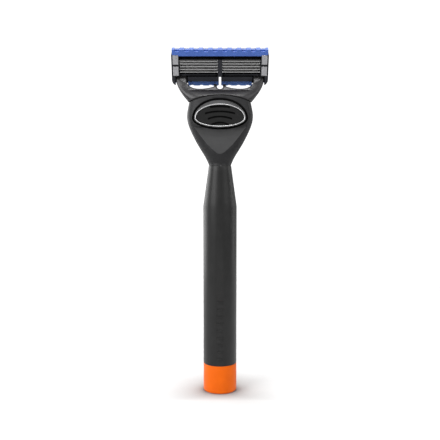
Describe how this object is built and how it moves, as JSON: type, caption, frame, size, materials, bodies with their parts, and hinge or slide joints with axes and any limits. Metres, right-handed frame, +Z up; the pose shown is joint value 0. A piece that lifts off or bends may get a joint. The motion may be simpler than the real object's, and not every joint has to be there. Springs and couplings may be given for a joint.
{
  "type": "cartridge razor",
  "caption": "Wet-shaving cartridge razor standing on its handle: round handle with end cap, flared head with a release button, and a pivoting multi-blade cartridge.",
  "frame": {"origin": "centre of the flat base of the handle's end cap", "axes": "+Z up along the handle, +X to the right along the blades, +Y towards the shaving side; the release button faces -Y"},
  "size_m": [0.0414, 0.0158, 0.1489],
  "materials": {
    "anodised_black": "satin black anodised",
    "orange_cap": "satin moulded orange",
    "steel": "plain steel",
    "brass": "turned brass",
    "head_plastic": "fine matte moulded charcoal",
    "panel_plastic": "satin moulded charcoal",
    "inner_plastic": "moulded black",
    "button_plastic": "satin gloss charcoal",
    "chrome": "bright plated",
    "button_rubber": "soft dark rubber",
    "yoke_plastic": "moulded dark grey",
    "housing_plastic": "dark navy moulded",
    "blue_elastomer": "soft blue elastomer",
    "blue_plastic": "satin blue moulded",
    "lube_strip": "pale waxy strip",
    "blade_steel": "ground stainless steel",
    "clip_aluminium": "soft satin aluminium"
  },
  "bodies": {
    "handle": {"end_cap": "orange_cap", "handle_tube": "anodised_black", "ballast_rod": "steel", "threaded_insert": "brass", "neck_stud": "steel", "head_shell": "head_plastic", "thumb_panel": "panel_plastic", "front_cover": "head_plastic", "cover_screws": "steel", "docking_insert": "inner_plastic", "ejector_springs": "steel", "plunger_spring": "steel"},
    "ejector": {"ejector_slider": "inner_plastic", "button_bezel": "button_plastic", "button_ring": "chrome", "button_pad": "button_rubber"},
    "plunger": {"plunger": "inner_plastic"},
    "cartridge": {"interconnect_yoke": "yoke_plastic"},
    "blade_unit": {"blade_housing": "housing_plastic", "guard_strip": "blue_elastomer", "lubricating_strip": "lube_strip", "trimmer_comb": "blue_plastic", "trimmer_blade": "blade_steel", "clip_left": "clip_aluminium", "clip_right": "clip_aluminium"},
    "blade_1_floating": {"blade_1": "blade_steel", "blade_support_1": "blade_steel"},
    "blade_2_floating": {"blade_2": "blade_steel", "blade_support_2": "blade_steel"},
    "blade_3_floating": {"blade_3": "blade_steel", "blade_support_3": "blade_steel"},
    "blade_4_floating": {"blade_4": "blade_steel", "blade_support_4": "blade_steel"},
    "blade_5_floating": {"blade_5": "blade_steel", "blade_support_5": "blade_steel"}
  },
  "joints": [
    {"name": "button_slide", "type": "slide", "parent": "handle", "child": "ejector", "axis": [0, 0, 1], "range_m": [0, 0.0034], "stiffness_N_per_m": 300, "springref_m": -0.0005, "deforming": ["ejector_springs"]},
    {"name": "cartridge_release", "type": "slide", "parent": "handle", "child": "cartridge", "axis": [0, 0, 1], "range_m": [0, 0.0034]},
    {"name": "blade_unit_pivot", "type": "hinge", "parent": "cartridge", "child": "blade_unit", "pos_m": [0, 0.005, 0.1362], "axis": [1, 0, 0], "range_deg": [0, 40], "stiffness_Nm_per_rad": 0.01, "springref_deg": -2.86},
    {"name": "plunger_slide", "type": "slide", "parent": "handle", "child": "plunger", "axis": [0, 0, -1], "range_m": [0, 0.00112], "stiffness_N_per_m": 0.5, "springref_m": -0.0025, "deforming": ["plunger_spring"]},
    {"name": "blade_1_float", "type": "slide", "parent": "blade_unit", "child": "blade_1_floating", "axis": [0, -0.8829, -0.4695], "range_m": [0, 0.00025], "stiffness_N_per_m": 300},
    {"name": "blade_2_float", "type": "slide", "parent": "blade_unit", "child": "blade_2_floating", "axis": [0, -0.8829, -0.4695], "range_m": [0, 0.00025], "stiffness_N_per_m": 300},
    {"name": "blade_3_float", "type": "slide", "parent": "blade_unit", "child": "blade_3_floating", "axis": [0, -0.8829, -0.4695], "range_m": [0, 0.00025], "stiffness_N_per_m": 300},
    {"name": "blade_4_float", "type": "slide", "parent": "blade_unit", "child": "blade_4_floating", "axis": [0, -0.8829, -0.4695], "range_m": [0, 0.00025], "stiffness_N_per_m": 300},
    {"name": "blade_5_float", "type": "slide", "parent": "blade_unit", "child": "blade_5_floating", "axis": [0, -0.8829, -0.4695], "range_m": [0, 0.00025], "stiffness_N_per_m": 300}
  ],
  "couplings": [
    {"joint": "cartridge_release", "follows": "button_slide", "ratio": 1},
    {"joint": "plunger_slide", "follows": "blade_unit_pivot", "m_per_rad": 0.0016}
  ]
}
